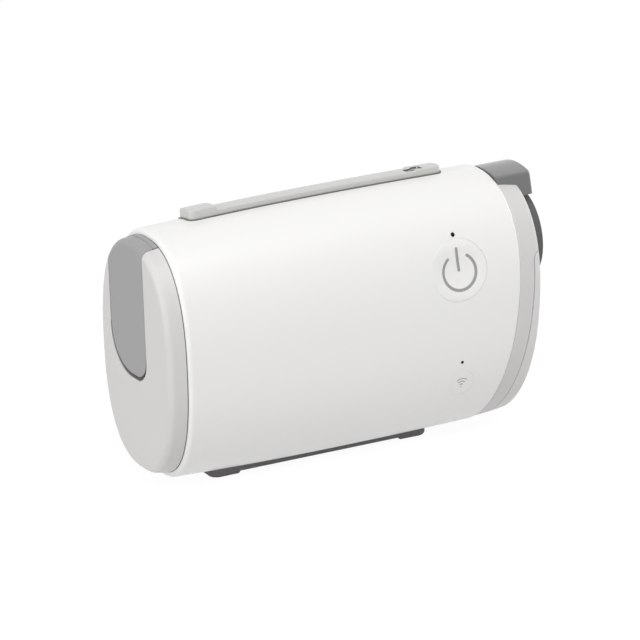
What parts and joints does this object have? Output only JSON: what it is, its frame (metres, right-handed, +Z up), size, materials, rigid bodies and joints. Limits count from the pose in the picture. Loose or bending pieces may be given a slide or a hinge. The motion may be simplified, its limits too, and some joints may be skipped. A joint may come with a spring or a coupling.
{
  "type": "cpap machine",
  "caption": "Compact travel CPAP machine: oval white casing with a dished start button, hinged inlet filter door, hooded air outlet, top rail, rubber foot and a blower inside.",
  "frame": {"origin": "under the middle of the machine, on the plane that its foot stands on", "axes": "+X along the machine towards the air outlet, the front with the start button faces -Y, +Z up"},
  "size_m": [0.136, 0.0522, 0.0855],
  "materials": {
    "casing_white": "satin moulded",
    "end_grey": "satin moulded",
    "door_grey": "fine matt",
    "pin_steel": "plain",
    "filter_white": "felted",
    "grille_black": "plain",
    "port_grey": "satin",
    "seal_rubber": "plain",
    "hood_grey": "fine matt",
    "inlet_black": "plain",
    "contact_brass": "plated",
    "rail_grey": "satin moulded",
    "foot_rubber": "plain",
    "button_white": "satin moulded",
    "lens_clear": "clear",
    "board_green": "lacquered",
    "plunger_white": "plain",
    "chip_black": "plain",
    "screw_steel": "plain",
    "chassis_grey": "plain",
    "blower_black": "plain",
    "bearing_steel": "ground",
    "stator_steel": "laminated",
    "coil_brass": "enamelled winding",
    "magnet_grey": "sintered",
    "impeller_white": "plain",
    "foam_grey": "open foam"
  },
  "bodies": {
    "casing": {"front_shell": "casing_white", "rear_shell": "casing_white", "inlet_end_cap": "end_grey", "door_hinge_pin": "pin_steel", "air_filter": "filter_white", "filter_grille": "grille_black", "outlet_end_frame": "end_grey", "lower_end_cover": "end_grey", "outlet_port": "port_grey", "port_seal": "seal_rubber", "connector_hood": "hood_grey", "power_inlet": "inlet_black", "power_inlet_pin": "contact_brass", "top_rail": "rail_grey", "foot_rail": "foot_rubber", "status_lens": "lens_clear", "wireless_lens": "lens_clear", "main_board": "board_green", "start_switch": "inlet_black", "pairing_switch": "inlet_black", "board_chips": "chip_black", "board_screws": "screw_steel", "chassis": "chassis_grey", "chassis_screws": "screw_steel", "blower_lower_housing": "blower_black", "blower_upper_housing": "blower_black", "motor_bearings": "bearing_steel", "motor_stator": "stator_steel", "stator_coils": "coil_brass", "blower_mounts": "seal_rubber", "muffler_foam": "foam_grey", "outlet_duct": "chassis_grey", "flow_sensor": "inlet_black"},
    "start_key": {"start_button": "button_white", "start_switch_plunger": "plunger_white"},
    "pairing_key": {"pairing_button": "button_white", "pairing_switch_plunger": "plunger_white"},
    "door": {"filter_door": "door_grey"},
    "rotor": {"impeller": "impeller_white", "impeller_shaft": "bearing_steel", "rotor_magnet": "magnet_grey"}
  },
  "joints": [
    {"name": "start_button_travel", "type": "slide", "parent": "casing", "child": "start_key", "axis": [0, 1, 0], "range_m": [0, 0.0006], "stiffness_N_per_m": 900, "springref_m": -0.0009},
    {"name": "pairing_button_travel", "type": "slide", "parent": "casing", "child": "pairing_key", "axis": [0, 1, 0], "range_m": [0, 0.0006], "stiffness_N_per_m": 900, "springref_m": -0.0009},
    {"name": "filter_door_hinge", "type": "hinge", "parent": "casing", "child": "door", "pos_m": [-0.06375, 0, 0.0776], "axis": [0, 1, 0], "range_deg": [0, 75]},
    {"name": "impeller_spin", "type": "hinge", "parent": "casing", "child": "rotor", "pos_m": [-0.0095, 0, 0.0385], "axis": [0, 1, 0], "continuous": true}
  ]
}
